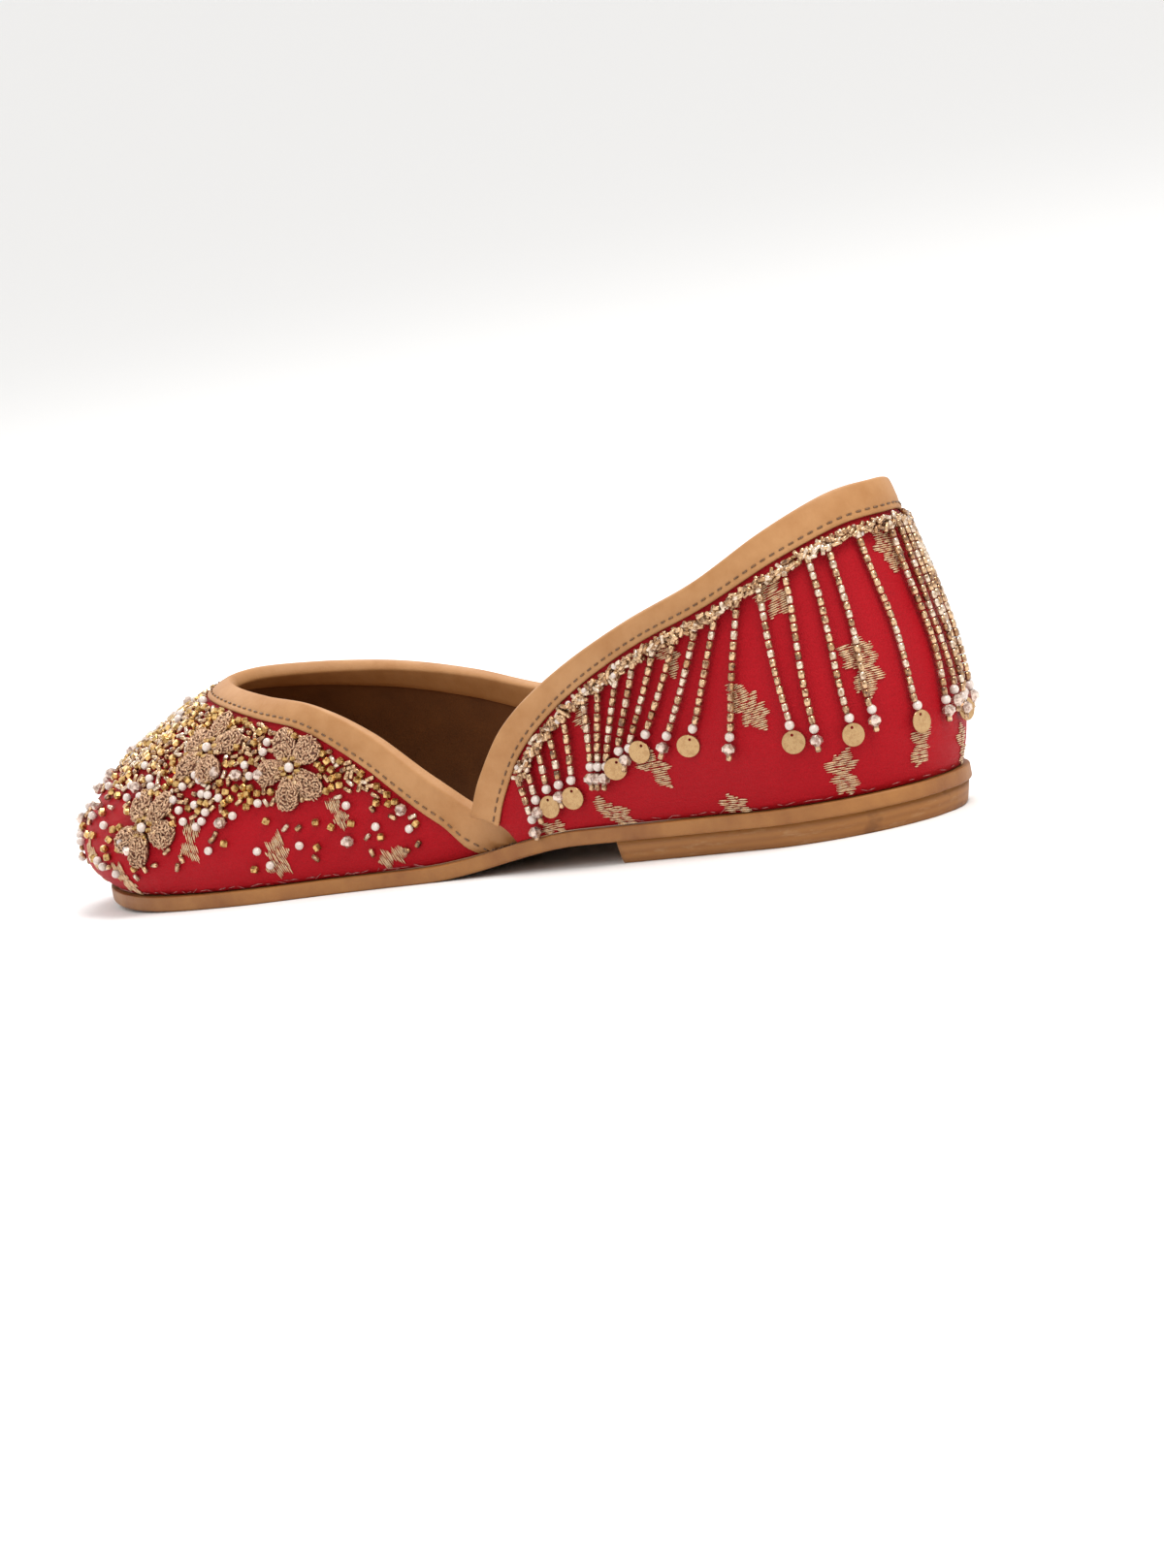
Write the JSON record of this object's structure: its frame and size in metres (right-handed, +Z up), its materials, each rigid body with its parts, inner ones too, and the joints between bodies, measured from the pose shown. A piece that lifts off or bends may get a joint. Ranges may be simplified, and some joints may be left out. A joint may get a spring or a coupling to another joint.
{
  "type": "mojari shoe",
  "caption": "Low-heeled mojari slip-on with one open side, bound topline, bead fringe round the heel and thread flowers on the vamp.",
  "frame": {"origin": "under the middle of the shoe's bounding box, on the ground", "axes": "+X to the toe, +Y to the inner, open side, +Z up"},
  "size_m": [0.2592, 0.0816, 0.0788],
  "materials": {
    "sole_leather": "smooth tan leather, waxed edge",
    "lift_leather": "burnished tan leather, scuffed",
    "lining_leather": "soft matt tan leather",
    "silk": "crimson silk with woven gold sprigs, leather lined",
    "binding_leather": "soft tan leather with a running stitch",
    "beads": "silver-lined champagne glass, pearls and gold discs",
    "gold_thread": "metallic thread embroidery"
  },
  "bodies": {
    "root": {"outsole": "sole_leather", "heel_lift": "lift_leather", "insole": "lining_leather", "upper": "silk", "topline_binding": "binding_leather", "bead_fringe": "beads", "flower_inner_throat": "gold_thread", "flower_inner_side": "gold_thread", "flower_toe": "gold_thread", "flower_outer_throat": "gold_thread", "flower_outer_side": "gold_thread"}
  },
  "joints": []
}
